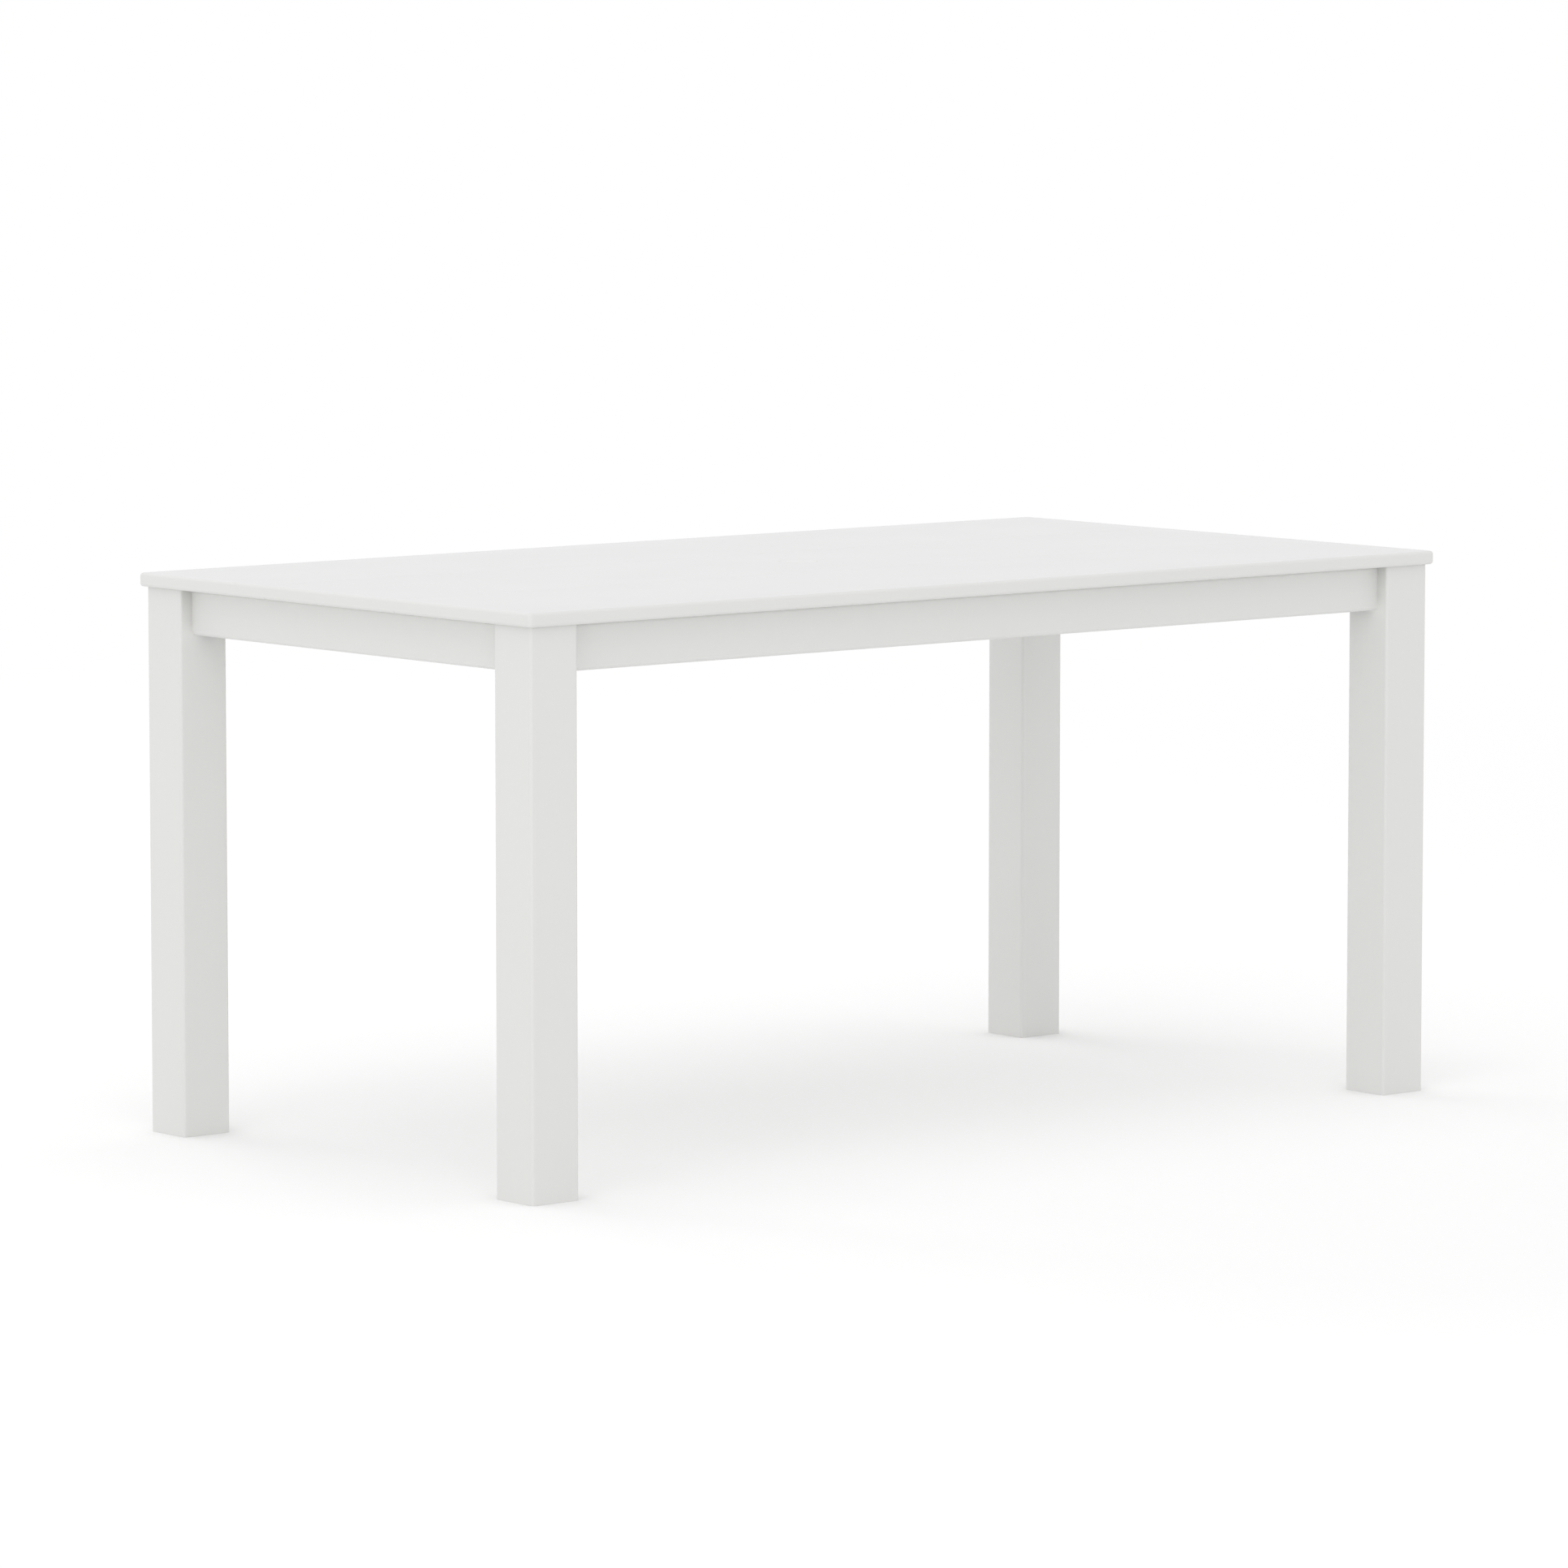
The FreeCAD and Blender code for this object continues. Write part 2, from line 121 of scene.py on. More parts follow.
# White plastic lumber
lumber_white = (0.800, 0.800, 0.784, 1)
lumber_shade = (0.793, 0.793, 0.776, 1)
# Painted light: faces that look up get a plain white of their own, for how light falls on the top
lumber_top_painted_light = (0.791, 0.791, 0.790, 1)
lumber_shade_top_painted_light = (0.785, 0.785, 0.783, 1)
# Painted shade: the rounded edges are a touch greyer, dulling the highlight that light puts on them
lumber_arris_painted_shade = (0.794, 0.794, 0.779, 1)
# Painted shade: the dark colour laid into inner corners, where little light reaches
lumber_corner_shade = (0.56, 0.56, 0.545, 1)
lumber_cloud_size = 160 * mm
lumber_line_length = 400 * mm
lumber_line_width = 1.6 * mm
lumber_roughness = (0.46, 0.52)
lumber_edge_gloss = 0.04
lumber_grain_size = 0.8 * mm
lumber_line_share = 0.5
lumber_bump = 0.08
lumber_bump_depth = 0.02 * mm

# How a piece's places are turned, so that its drawn lines run along it
lying_along_x = (0, 0, 0)
lying_along_y = (0, 0, math.radians(-90))
standing = (0, math.radians(90), 0)

# Painted shade in inner corners: its reach, its rise from the rails' lower edge to its full share, how
# open a spot is where there is none and where there is most, and each kind of piece's share of it
corner_shade_reach = 38 * mm
corner_shade_rise = 20 * mm
corner_shade_start = 0.85
corner_shade_full = 0.15
corner_shade_on_legs = 1.0
corner_shade_on_rails_and_boards = 0.12

# White moulded plastic
cap_white = (0.795, 0.795, 0.792, 1)
cap_shade = (0.787, 0.787, 0.783, 1)
cap_cloud_size = 12 * mm
cap_roughness = (0.40, 0.46)
cap_grain_size = 0.5 * mm
cap_cloud_share = 0.2
cap_bump = 0.2
cap_bump_depth = 0.02 * mm

# Stainless steel
steel_bright = (0.60, 0.59, 0.57, 1)
steel_dull = (0.52, 0.515, 0.50, 1)
steel_cloud_size = 9 * mm
steel_roughness = (0.24, 0.40)
steel_line_share = 0.7
steel_bump = 0.3
steel_bump_depth = 0.01 * mm

# The part of a value's range that a mask spreads to the full range from 0 to 1: noise for clouds and
# for lines, the largest part of an arris's direction, and the upward part of a face's direction
cloud_noise = (0.3, 0.7)
line_noise = (0.28, 0.72)
arris_lean = (0.995, 0.75)
sky_lean = (0.5, 0.98)

# Rays that look round a point for what stands near it
occlusion_rays = 4


# Solids of the frame

def solids_of(node):
    """Returns the corner points of each separate solid in a CAD node.

    Corners on the same spot are one point. Every triangle gives its smallest point number to its
    three corners, again and again until nothing changes, so each solid ends with one number.
    """
    mesh = cad[node].data
    corners = np.empty(len(mesh.vertices) * 3)
    mesh.vertices.foreach_get("co", corners)
    spots = np.round(corners.reshape(-1, 3) / same_spot).astype(np.int64)
    spots, number = np.unique(spots, axis=0, return_inverse=True)
    used = np.empty(len(mesh.loops), np.int64)
    mesh.loops.foreach_get("vertex_index", used)
    triangles = number.ravel()[used].reshape(-1, 3)
    label = np.arange(len(spots))
    changed = True
    while changed:
        lowest = label.copy()
        np.minimum.at(lowest, triangles, label[triangles].min(axis=1)[:, None])
        changed = not np.array_equal(lowest, label)
        label = lowest
    return [spots[label == one] * same_spot for one in np.unique(label)]


def unit(x, y, z):
    """Returns the direction of x, y, z, with length 1."""
    return np.array((x, y, z)) / math.sqrt(x * x + y * y + z * z)


square_ways = (unit(1, 0, 0), unit(0, 1, 0), unit(0, 0, 1))
diagonal_ways = (unit(1, 1, 0), unit(1, -1, 0))
end_share = 0.05


def seat_of(points, ways, pick):
    """Returns where a turned solid stands: its start, its three directions and its length.

    The middle line runs along the way in which the solid is longest, or thinnest, as pick says.
    The start is the end whose outermost point is nearer to the middle line, which is the pointed
    end. The first side direction goes through the solid's widest corner.
    """
    way = pick(ways, key=lambda one: np.ptp(points @ one))
    along = points @ way
    length = np.ptp(along)
    across = points - np.outer(along, way)
    middle = (across.min(axis=0) + across.max(axis=0)) / 2
    reach = np.linalg.norm(across - middle, axis=1)
    near_low = reach[along < along.min() + end_share * length].max()
    near_high = reach[along > along.max() - end_share * length].max()
    start = middle + along.min() * way
    if near_high < near_low - same_spot:
        start = middle + along.max() * way
        way = -way
    side = (across - middle)[reach.argmax()]
    side = side / np.linalg.norm(side)
    return start, np.stack([side, np.cross(way, side), way]), length


# Turned and threaded surfaces

def angles(columns):
    """Returns the angle of each column of a surface that goes once round."""
    return np.arange(columns) * full_turn / columns


def turned(radius, height, columns):
    """Returns a grid of points whose rows go round the middle line.

    x = radius cos(angle), y = radius sin(angle) and z = height, where radius and height hold one
    number for each row, or one for each row and column.
    """
    around = angles(columns)
    radius, height, around = np.broadcast_arrays(radius, height, around[None, :])
    return np.stack([radius * np.cos(around), radius * np.sin(around), height], axis=-1)


def faces_of(rows, columns, ring):
    """Returns the faces of a grid that closes round its columns.

    A ring's last row meets its first one. Any other grid has a flat cap on its first and last row.
    """
    row = np.arange(rows if ring else rows - 1)[:, None]
    column = np.arange(columns)[None, :]
    this_row = row * columns
    next_row = (row + 1) % rows * columns
    next_column = (column + 1) % columns
    quads = np.stack([this_row + column, this_row + next_column,
                      next_row + next_column, next_row + column], axis=-1)
    faces = quads.reshape(-1, 4).tolist()
    if not ring:
        first = list(range(columns))
        faces.append(first[::-1])
        faces.append([corner + (rows - 1) * columns for corner in first])
    return faces


def ridge(height, pitch, columns, base_share, crest_share):
    """Returns how far up the flank of a screw thread each point lies, from 0 at its root to 1.

    The phase, height / pitch minus the share of a turn, is the same along the whole helix. Within
    one pitch the ridge rises in a straight line from its base to its flat crest and falls again.
    """
    phase = height / pitch - angles(columns)[None, :] / full_turn
    off_crest = np.abs(phase - np.floor(phase) - 1 / 2)
    return np.clip((base_share / 2 - off_crest) / (base_share / 2 - crest_share / 2), 0, 1)


def steps(start, end, spacing):
    """Returns evenly spaced heights from start up to end, without end itself."""
    count = max(1, round((end - start) / spacing))
    return np.linspace(start, end, count, endpoint=False)


def bolt_surface(length):
    """Returns the surface of a hanger bolt that starts with its point and ends with its nut end.

    radius = core + (outer - core) ridge, where core and outer are broken lines along the bolt.
    Where the two meet the bolt is plain.
    """
    fine_end = length - bolt_end_chamfer
    height = np.concatenate([
        steps(0, bolt_collar_start, bolt_wood_pitch / bolt_rows_per_pitch),
        [bolt_collar_start, bolt_collar_end],
        steps(bolt_fine_start, fine_end, bolt_fine_pitch / bolt_rows_per_pitch),
        [fine_end, length]])[:, None]
    places = [0, bolt_point_length, bolt_wood_end, bolt_collar_start, bolt_collar_end,
              bolt_fine_start, fine_end, length]
    end_radius = bolt_radius - bolt_end_chamfer
    core = np.interp(height, places, [
        bolt_point_radius, bolt_wood_core, bolt_wood_core, bolt_collar_radius,
        bolt_collar_radius, bolt_fine_core, bolt_fine_core, end_radius])
    outer = np.interp(height, places, [
        bolt_point_radius, bolt_radius, bolt_radius, bolt_collar_radius,
        bolt_collar_radius, bolt_radius, bolt_radius, end_radius])
    wood = ridge(height, bolt_wood_pitch, bolt_columns, **bolt_wood_thread)
    fine = ridge(height, bolt_fine_pitch, bolt_columns, **bolt_fine_thread)
    thread = np.where(height < bolt_collar_start, wood, fine)
    return turned(core + (outer - core) * thread, height, bolt_columns), False


def nut_surface(height):
    """Returns the surface of a hexagon nut.

    The hexagon's radius is half the width across flats over cos(angle within one sixth). The
    chamfer is a cone that starts from a circle on each face, and each column leaves the cone where
    it reaches the hexagon, which draws the curved line of a real nut.
    """
    sixth = full_turn / 6
    within = (angles(nut_columns) + sixth / 2) % sixth - sixth / 2
    hexagon = nut_across_flats / 2 / np.cos(np.abs(within) - sixth / 2)
    face = nut_across_flats / 2 * nut_face_share
    chamfer = (hexagon - face) * nut_chamfer_slope
    flat = np.ones(nut_columns)
    mouth = nut_bore_radius + nut_mouth_chamfer
    radius = np.stack([face * flat, hexagon, hexagon, face * flat,
                       mouth * flat, nut_bore_radius * flat, nut_bore_radius * flat, mouth * flat])
    level = np.stack([0 * flat, chamfer, height - chamfer, height * flat, height * flat,
                      (height - nut_mouth_chamfer) * flat, nut_mouth_chamfer * flat, 0 * flat])
    return turned(radius, level, nut_columns), True


def washer_surface(thickness):
    """Returns the surface of a flat washer whose outer edges are quarter rounds."""
    bend = np.linspace(0, math.pi / 2, washer_rounding_steps)
    inner = washer_radius - washer_rounding
    low_radius = inner + washer_rounding * np.sin(bend)
    low_level = washer_rounding * (1 - np.cos(bend))
    radius = np.concatenate([low_radius, low_radius[::-1], [washer_bore_radius] * 2])
    level = np.concatenate([low_level, thickness - low_level[::-1], [thickness, 0]])
    return turned(radius[:, None], level[:, None], washer_columns), True


def screw_surface(length):
    """Returns the surface of a pan-head screw that starts with its point and ends in its socket.

    The shank is a thread round a core. The head's dome is a sphere's cap, and its rows change
    from the round rim into the square mouth of the socket in even steps.
    """
    seat = length - screw_head_height
    thread_end = seat - screw_thread_start
    height = np.concatenate([
        steps(0, thread_end, screw_thread_pitch / screw_rows_per_pitch), [thread_end, seat]])[:, None]
    places = [0, screw_point_length, thread_end, seat]
    core = np.interp(height, places, [screw_point_radius, screw_core_radius, screw_core_radius,
                                      screw_crest_radius])
    outer = np.interp(height, places, [screw_point_radius, screw_crest_radius, screw_crest_radius,
                                       screw_crest_radius])
    thread = ridge(height, screw_thread_pitch, screw_columns, **screw_thread)
    shank = turned(core + (outer - core) * thread, height, screw_columns)

    rim_radius = [screw_head_radius - screw_rim_rounding, screw_head_radius, screw_head_radius]
    rim_height = [seat, seat + screw_rim_rounding, seat + screw_head_rim]
    rim = turned(np.array(rim_radius)[:, None], np.array(rim_height)[:, None], screw_columns)

    rise = screw_head_height - screw_head_rim
    sphere = (screw_head_radius ** 2 + rise ** 2) / (2 * rise)
    around = angles(screw_columns)
    square = socket_side / 2 / np.maximum(np.abs(np.cos(around)), np.abs(np.sin(around)))
    inward = np.linspace(0, 1, dome_steps + 1)[1:, None]
    dome_radius = screw_head_radius * (1 - inward) + square * inward
    dome_height = length - sphere + np.sqrt(sphere ** 2 - dome_radius ** 2)
    dome = turned(dome_radius, dome_height, screw_columns)
    socket = turned(square, length - socket_depth, screw_columns)
    return np.concatenate([shank, rim, dome, socket]), False


# Pieces

def make_piece(name, points, faces, material, body):
    """Makes one mesh object of points and faces, smooth but for its sharp edges."""
    mesh = bpy.data.meshes.new(name)
    mesh.from_pydata(points, [], faces)
    mesh.polygons.foreach_set("use_smooth", np.ones(len(mesh.polygons), bool))
    mesh.set_sharp_from_angle(angle=sharp_angle)
    mesh.materials.append(material)
    mesh.update()
    piece = bpy.data.objects.new(name, mesh)
    bpy.context.scene.collection.objects.link(piece)
    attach(piece, body)
    return piece


def fasteners(name, node, surface, ways, pick, material):
    """Puts a detailed fastener in the place of each solid of a CAD node."""
    points = []
    faces = []
    total = 0
    for solid in solids_of(node):
        start, directions, length = seat_of(solid, ways, pick)
        grid, ring = surface(length)
        rows, columns = grid.shape[:2]
        points.append(grid.reshape(-1, 3) @ directions + start)
        faces += [[corner + total for corner in face] for face in faces_of(rows, columns, ring)]
        total += rows * columns
    piece = make_piece(name, np.concatenate(points), faces, material, "table")
    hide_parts(node)
    return piece


# Shader nodes

def add_node(tree, kind, inputs=None, **settings):
    """Adds a shader node with its settings, and gives each named input a value or a link."""
    made = tree.nodes.new("ShaderNode" + kind)
    for name, value in settings.items():
        setattr(made, name, value)
    for name, value in (inputs or {}).items():
        if isinstance(value, bpy.types.NodeSocket):
            tree.links.new(value, made.inputs[name])
        else:
            made.inputs[name].default_value = value
    return made


def start_group(name, inputs, outputs):
    """Starts a node group. Returns its tree, the values that come in and the sockets that go out."""
    tree = bpy.data.node_groups.new(name, "ShaderNodeTree")
    for title, kind in inputs:
        tree.interface.new_socket(title, in_out="INPUT", socket_type="NodeSocket" + kind)
    for title, kind in outputs:
        tree.interface.new_socket(title, in_out="OUTPUT", socket_type="NodeSocket" + kind)
    entry = tree.nodes.new("NodeGroupInput")
    result = tree.nodes.new("NodeGroupOutput")
    return tree, entry.outputs, result.inputs


def use_group(tree, group, inputs):
    """Places a node group in a material with its own values."""
    made = tree.nodes.new("ShaderNodeGroup")
    made.node_tree = group
    for name, value in inputs.items():
        if isinstance(value, bpy.types.NodeSocket):
            tree.links.new(value, made.inputs[name])
        else:
            made.inputs[name].default_value = value
    return made.outputs


def cloud_group():
    """Soft clouds: noise of one patch size in every direction, spread to the full range."""
    tree, given, result = start_group(
        "soft_clouds", [("Place", "Vector"), ("Patch Size", "Float")], [("Clouds", "Float")])
    fine = add_node(tree, "Math", {0: 1.0, 1: given["Patch Size"]}, operation="DIVIDE")
    noise = add_node(tree, "TexNoise", {
        "Vector": given["Place"], "Scale": fine.outputs[0], "Detail": 2.0, "Roughness": 0.5})
    spread = add_node(tree, "MapRange", {
        "Value": noise.outputs["Fac"], "From Min": cloud_noise[0], "From Max": cloud_noise[1]})
    tree.links.new(spread.outputs["Result"], result["Clouds"])
    return tree


def line_group():
    """Drawn lines: noise that is long along X and fine across it."""
    tree, given, result = start_group(
        "drawn_lines",
        [("Place", "Vector"), ("Line Length", "Float"), ("Line Width", "Float")],
        [("Lines", "Float")])
    size = add_node(tree, "CombineXYZ", {
        "X": given["Line Length"], "Y": given["Line Width"], "Z": given["Line Width"]})
    place = add_node(tree, "VectorMath", {0: given["Place"], 1: size.outputs[0]}, operation="DIVIDE")
    noise = add_node(tree, "TexNoise", {
        "Vector": place.outputs[0], "Scale": 1.0, "Detail": 3.0, "Roughness": 0.6})
    spread = add_node(tree, "MapRange", {
        "Value": noise.outputs["Fac"], "From Min": line_noise[0], "From Max": line_noise[1]})
    tree.links.new(spread.outputs["Result"], result["Lines"])
    return tree


def arris_group():
    """Rounded arrises: 0 on a face square to X, Y or Z, and 1 midway round an edge.

    The mask is one minus the largest part of the surface's direction, spread to the full range.
    """
    tree, _, result = start_group("rounded_arris", [], [("Arris", "Float")])
    surface = add_node(tree, "NewGeometry")
    size = add_node(tree, "VectorMath", {0: surface.outputs["Normal"]}, operation="ABSOLUTE")
    part = add_node(tree, "SeparateXYZ", {0: size.outputs[0]})
    level = add_node(tree, "Math", {0: part.outputs["X"], 1: part.outputs["Y"]}, operation="MAXIMUM")
    largest = add_node(tree, "Math", {0: level.outputs[0], 1: part.outputs["Z"]}, operation="MAXIMUM")
    mask = add_node(tree, "MapRange", {
        "Value": largest.outputs[0], "From Min": arris_lean[0], "From Max": arris_lean[1]})
    tree.links.new(mask.outputs["Result"], result["Arris"])
    return tree


def skyward_group():
    """Skyward faces: 1 where the surface faces straight up and 0 where it leans past half way."""
    tree, _, result = start_group("facing_up", [], [("Skyward", "Float")])
    surface = add_node(tree, "NewGeometry")
    part = add_node(tree, "SeparateXYZ", {0: surface.outputs["Normal"]})
    mask = add_node(tree, "MapRange", {
        "Value": part.outputs["Z"], "From Min": sky_lean[0], "From Max": sky_lean[1]})
    tree.links.new(mask.outputs["Result"], result["Skyward"])
    return tree


def corner_shade_group():
    """Painted corner shade: 0 in the open and 1 deep in an inner corner, where shade falls.

    At the rails' lower edge the mask fades to 0, so the legs below the rails get none.
    """
    tree, given, result = start_group("painted_corner_shade", [("Reach", "Float")], [("Corner Shade", "Float")])
    rail_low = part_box("apron_rail_front")[0].z
    around = add_node(tree, "AmbientOcclusion", {"Distance": given["Reach"]}, samples=occlusion_rays)
    corner = add_node(tree, "MapRange", {
        "Value": around.outputs["AO"], "From Min": corner_shade_start, "From Max": corner_shade_full})
    place = add_node(tree, "TexCoord").outputs["Object"]
    height = add_node(tree, "SeparateXYZ", {0: place}).outputs["Z"]
    above_rail_edge = add_node(tree, "MapRange", {
        "Value": height, "From Min": rail_low, "From Max": rail_low + corner_shade_rise})
    mask = add_node(tree, "Math", {
        0: corner.outputs["Result"], 1: above_rail_edge.outputs["Result"]}, operation="MULTIPLY")
    tree.links.new(mask.outputs[0], result["Corner Shade"])
    return tree


def stipple_group():
    """Fine stipple, as on a moulded or drawn plastic skin: one height for each point."""
    tree, given, result = start_group(
        "fine_stipple",
        [("Place", "Vector"), ("Grain Size", "Float"), ("Lines", "Float"), ("Line Share", "Float")],
        [("Height", "Float")])
    fine = add_node(tree, "Math", {0: 1.0, 1: given["Grain Size"]}, operation="DIVIDE")
    noise = add_node(tree, "TexNoise", {
        "Vector": given["Place"], "Scale": fine.outputs[0], "Detail": 1.0, "Roughness": 0.5})
    height = add_node(tree, "Mix", {
        "Factor": given["Line Share"], 2: noise.outputs["Fac"], 3: given["Lines"]})
    tree.links.new(height.outputs[0], result["Height"])
    return tree


soft_clouds = cloud_group()
drawn_lines = line_group()
rounded_arris = arris_group()
facing_up = skyward_group()
painted_corner_shade = corner_shade_group()
fine_stipple = stipple_group()


def mixed(tree, share, first, second):
    """Mixes two colours, or values of a colour input, by a share from 0 to 1."""
    mix = add_node(tree, "Mix", {0: share, 6: first, 7: second}, data_type="RGBA")
    return mix.outputs[2]


def scaled(tree, value, low, high):
    """Turns a mask from 0 to 1 into a value from low to high."""
    return add_node(tree, "MapRange", {"Value": value, "To Min": low, "To Max": high}).outputs["Result"]


def start_material(name, turn):
    """Starts a material whose patterns run along X after the piece's places are turned."""
    material = bpy.data.materials.new(name)
    material.use_nodes = True
    tree = material.node_tree
    place = add_node(tree, "TexCoord").outputs["Object"]
    place = add_node(tree, "Mapping", {"Vector": place, "Rotation": turn}).outputs["Vector"]
    return material, tree, tree.nodes["Principled BSDF"], place


# Materials

def lumber(name, turn, corner_shade_share):
    """White plastic lumber drawn along X: a satin skin with faint lines along the piece.

    The colour drifts a little in soft clouds and along the lines. Where it faces the sky it is a plain
    white, painted light for how light falls on the top, and on the rounded edges it is a touch greyer,
    painted shade that dulls their highlight. Over it lies a share of painted shade in the inner
    corners. The bump is a fine stipple with the lines laid over it.
    """
    material, tree, shader, place = start_material(name, turn)
    clouds = use_group(tree, soft_clouds, {"Place": place, "Patch Size": lumber_cloud_size})["Clouds"]
    lines = use_group(tree, drawn_lines, {
        "Place": place, "Line Length": lumber_line_length, "Line Width": lumber_line_width})["Lines"]
    arris = use_group(tree, rounded_arris, {})["Arris"]
    skyward = use_group(tree, facing_up, {})["Skyward"]

    drift = add_node(tree, "Math", {0: clouds, 1: lines}, operation="MULTIPLY").outputs[0]
    colour = mixed(tree, drift, lumber_white, lumber_shade)
    # Painted light: faces that look up are mixed to their own plain white, for how light falls on the
    # top
    colour = mixed(tree, skyward, colour, mixed(tree, drift, lumber_top_painted_light, lumber_shade_top_painted_light))
    # Painted shade on the rounded edges, dulling their highlight
    colour = mixed(tree, arris, colour, lumber_arris_painted_shade)
    # Painted shade: inner corners are darkened towards the corner shade colour
    corner_shade = use_group(tree, painted_corner_shade, {"Reach": corner_shade_reach})["Corner Shade"]
    colour = mixed(tree, scaled(tree, corner_shade, 0.0, corner_shade_share), colour, lumber_corner_shade)
    tree.links.new(colour, shader.inputs["Base Color"])

    rough = scaled(tree, clouds, *lumber_roughness)
    worn = scaled(tree, arris, 0.0, lumber_edge_gloss)
    rough = add_node(tree, "Math", {0: rough, 1: worn}, operation="SUBTRACT").outputs[0]
    tree.links.new(rough, shader.inputs["Roughness"])

    height = use_group(tree, fine_stipple, {
        "Place": place, "Grain Size": lumber_grain_size, "Lines": lines,
        "Line Share": lumber_line_share})["Height"]
    bump = add_node(tree, "Bump", {
        "Strength": lumber_bump, "Distance": lumber_bump_depth, "Height": height})
    tree.links.new(bump.outputs["Normal"], shader.inputs["Normal"])
    return material


def moulded_plastic():
    """White moulded plastic of the cap: a little glossier than the lumber, with a finer stipple."""
    material, tree, shader, place = start_material("moulded_plastic", lying_along_x)
    clouds = use_group(tree, soft_clouds, {"Place": place, "Patch Size": cap_cloud_size})["Clouds"]
    arris = use_group(tree, rounded_arris, {})["Arris"]
    colour = mixed(tree, clouds, cap_white, cap_shade)
    # Painted shade on the rounded edges, dulling their highlight
    tree.links.new(mixed(tree, arris, colour, lumber_arris_painted_shade), shader.inputs["Base Color"])
    tree.links.new(scaled(tree, clouds, *cap_roughness), shader.inputs["Roughness"])
    height = use_group(tree, fine_stipple, {
        "Place": place, "Grain Size": cap_grain_size, "Lines": clouds,
        "Line Share": cap_cloud_share})["Height"]
    bump = add_node(tree, "Bump", {
        "Strength": cap_bump, "Distance": cap_bump_depth, "Height": height})
    tree.links.new(bump.outputs["Normal"], shader.inputs["Normal"])
    return material


def steel(name, line_length, line_width, grain_size):
    """Stainless steel: soft clouds of tone and gloss, with drawn or rolled lines over them."""
    material, tree, shader, place = start_material(name, standing)
    shader.inputs["Metallic"].default_value = 1.0
    clouds = use_group(tree, soft_clouds, {"Place": place, "Patch Size": steel_cloud_size})["Clouds"]
    lines = use_group(tree, drawn_lines, {
        "Place": place, "Line Length": line_length, "Line Width": line_width})["Lines"]
    colour = mixed(tree, clouds, steel_bright, steel_dull)
    tree.links.new(colour, shader.inputs["Base Color"])
    tree.links.new(scaled(tree, lines, *steel_roughness), shader.inputs["Roughness"])
    height = use_group(tree, fine_stipple, {
        "Place": place, "Grain Size": grain_size, "Lines": lines,
        "Line Share": steel_line_share})["Height"]
    bump = add_node(tree, "Bump", {
        "Strength": steel_bump, "Distance": steel_bump_depth, "Height": height})
    tree.links.new(bump.outputs["Normal"], shader.inputs["Normal"])
    return material


# Legs take the full painted corner shade, rails and boards a small share of it
lumber_along_x = lumber("white_lumber_along_x", lying_along_x, corner_shade_on_rails_and_boards)
lumber_along_y = lumber("white_lumber_along_y", lying_along_y, corner_shade_on_rails_and_boards)
lumber_upright = lumber("white_lumber_upright", standing, corner_shade_on_legs)
cap_plastic = moulded_plastic()
plate_steel = steel(
    "rolled_plate_steel", line_length=14 * mm, line_width=0.25 * mm, grain_size=0.4 * mm)
turned_steel = steel(
    "turned_steel", line_length=3 * mm, line_width=0.2 * mm, grain_size=0.3 * mm)


def finish_frame():
    """Gives every piece of the frame its own material."""
    for name, piece in cad.items():
        material = plate_steel
        if name == "umbrella_hole_cap":
            material = cap_plastic
        elif name in ("apron_rail_left", "apron_rail_right") or name.startswith("batten_"):
            material = lumber_along_y
        elif name.startswith("leg_"):
            material = lumber_upright
        elif name.startswith(("top_board_", "apron_rail_")):
            material = lumber_along_x
        for slot in piece.material_slots:
            slot.material = material


# Studio

def plainly_seen(tree):
    """Returns 1 for the rays by which the camera, gloss or glass sees a surface, and 0 for others."""
    path = add_node(tree, "LightPath").outputs
    seen = path["Is Camera Ray"]
    for kind in ("Is Glossy Ray", "Is Transmission Ray"):
        seen = add_node(tree, "Math", {0: seen, 1: path[kind]}, operation="MAXIMUM").outputs[0]
    return seen


def make_camera():
    """Sets the camera at the photograph's viewing angle."""
    data = bpy.data.cameras.new("camera")
    data.lens = camera_lens
    data.sensor_width = camera_sensor
    data.clip_end = camera_reach
    camera = bpy.data.objects.new("camera", data)
    bpy.context.scene.collection.objects.link(camera)
    camera.location = camera_place
    camera.rotation_euler = (camera_target - camera_place).to_track_quat("-Z", "Y").to_euler()
    bpy.context.scene.camera = camera


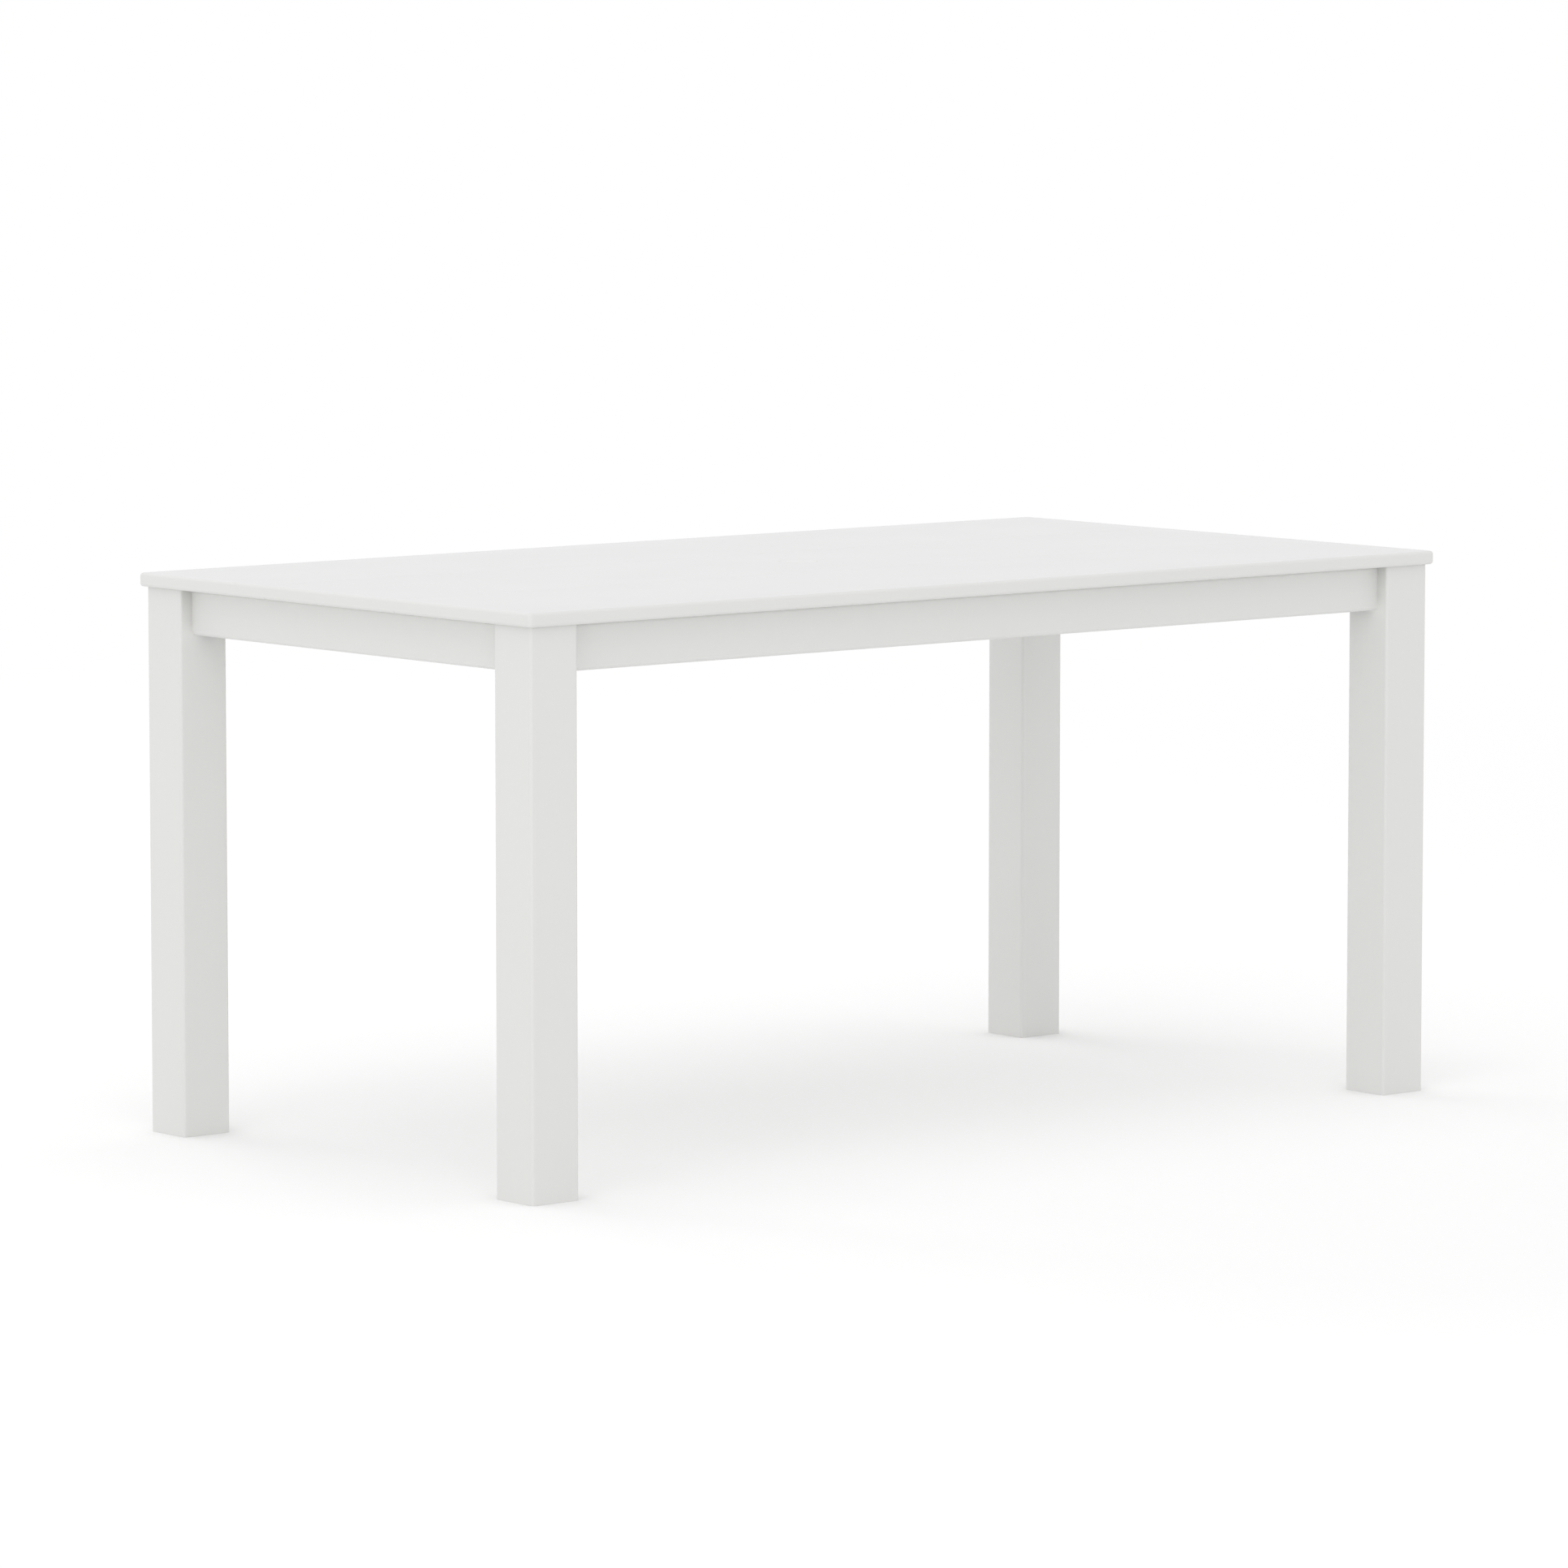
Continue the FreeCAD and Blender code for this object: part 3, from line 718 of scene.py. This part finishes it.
def make_floor():
    """A pale level floor that takes the table's soft shadow, and is open when seen from below.

    A faint glow lifts it for the camera and for gloss, less so close round the feet. Far from the
    table the camera sees it turn into the pure white of the backdrop.
    """
    mesh = bpy.data.meshes.new("floor")
    corners = [(-floor_half, -floor_half, 0), (floor_half, -floor_half, 0),
               (floor_half, floor_half, 0), (-floor_half, floor_half, 0)]
    mesh.from_pydata(corners, [], [(0, 1, 2, 3)])
    floor = bpy.data.objects.new("floor", mesh)
    bpy.context.scene.collection.objects.link(floor)
    material = bpy.data.materials.new("pale_floor")
    material.use_nodes = True
    mesh.materials.append(material)
    tree = material.node_tree
    tree.nodes.remove(tree.nodes["Principled BSDF"])
    seen = plainly_seen(tree)
    under = add_node(tree, "NewGeometry").outputs["Backfacing"]
    matt = add_node(tree, "BsdfDiffuse", {"Color": (floor_white, floor_white, floor_white, 1)})
    around = add_node(tree, "AmbientOcclusion", {"Distance": contact_reach}, samples=occlusion_rays)
    clear_floor = add_node(tree, "Math", {0: around.outputs["AO"], 1: contact_depth}, operation="POWER")
    lift = add_node(tree, "Math", {0: clear_floor.outputs[0], 1: floor_lift}, operation="MULTIPLY")
    glow = add_node(tree, "Emission", {"Strength": lift.outputs[0]})
    lifted = add_node(tree, "AddShader", {0: matt.outputs[0], 1: glow.outputs[0]})
    lit = add_node(tree, "MixShader", {0: seen, 1: matt.outputs[0], 2: lifted.outputs[0]})
    place = add_node(tree, "TexCoord").outputs["Object"]
    away = add_node(tree, "VectorMath", {0: place}, operation="LENGTH").outputs["Value"]
    far = add_node(tree, "MapRange", {
        "Value": away, "From Min": floor_fade_start, "From Max": floor_fade_end},
        interpolation_type="SMOOTHSTEP").outputs["Result"]
    far = add_node(tree, "Math", {0: far, 1: seen}, operation="MULTIPLY").outputs[0]
    pure = add_node(tree, "Emission", {"Strength": 1.0})
    swept = add_node(tree, "MixShader", {0: far, 1: lit.outputs[0], 2: pure.outputs[0]})
    clear = add_node(tree, "BsdfTransparent")
    mix = add_node(tree, "MixShader", {0: under, 1: swept.outputs[0], 2: clear.outputs[0]})
    tree.links.new(mix.outputs[0], tree.nodes["Material Output"].inputs["Surface"])


def make_sky():
    """An even white studio all round, which rays from the camera and from gloss see as pure white."""
    world = bpy.data.worlds.new("white_studio")
    bpy.context.scene.world = world
    world.use_nodes = True
    tree = world.node_tree
    lit = tree.nodes["Background"]
    lit.inputs["Color"].default_value = pure_white
    lit.inputs["Strength"].default_value = sky_strength
    pure = add_node(tree, "Background", {"Color": pure_white, "Strength": 1.0})
    mix = add_node(tree, "MixShader", {
        0: plainly_seen(tree), 1: lit.outputs[0], 2: pure.outputs[0]})
    tree.links.new(mix.outputs[0], tree.nodes["World Output"].inputs["Surface"])


# Lamps: the way each one stands from the table, from the front and above the floor in degrees,
# its distance, its width and height, and its power in watts
lamps = {
    "high_front_left": (-48, 52, 15.0, 10.0, 10.0, 178),
    "low_left": (-70, 8, 15.0, 7.0, 4.0, 148),
    "low_front": (-20, 10, 15.0, 7.0, 4.0, 112),
    "back": (185, 22, 15.0, 10.0, 6.5, 396),
    "overhead": (0, 90, 10.0, 8.0, 8.0, 114),
}
lamp_aim = Vector((0, 0, 0.4))


def make_lamps():
    """Hangs large soft lamps round the table, which no camera or gloss sees."""
    for name, (around, above, distance, width, height, power) in lamps.items():
        data = bpy.data.lights.new(name, "AREA")
        data.shape = "RECTANGLE"
        data.size = width
        data.size_y = height
        data.energy = power
        lamp = bpy.data.objects.new(name, data)
        bpy.context.scene.collection.objects.link(lamp)
        turn = math.radians(around)
        climb = math.radians(above)
        way = Vector((math.sin(turn) * math.cos(climb), -math.cos(turn) * math.cos(climb),
                      math.sin(climb)))
        lamp.location = lamp_aim + way * distance
        lamp.rotation_euler = (-way).to_track_quat("-Z", "Y").to_euler()
        lamp.visible_camera = False
        lamp.visible_glossy = False


finish_frame()
fasteners("hanger_bolts_threaded", "hanger_bolts", bolt_surface, diagonal_ways, max, turned_steel)
fasteners("bolt_nuts_chamfered", "bolt_nuts", nut_surface, diagonal_ways, min, turned_steel)
fasteners("bolt_washers_rounded", "bolt_washers", washer_surface, diagonal_ways, min, turned_steel)
for group in ("batten_screws", "angle_bracket_screws", "corner_bracket_screws"):
    fasteners(group + "_threaded", group, screw_surface, square_ways, max, turned_steel)
make_camera()
make_floor()
make_sky()
make_lamps()
bpy.context.scene.view_settings.view_transform = "Standard"
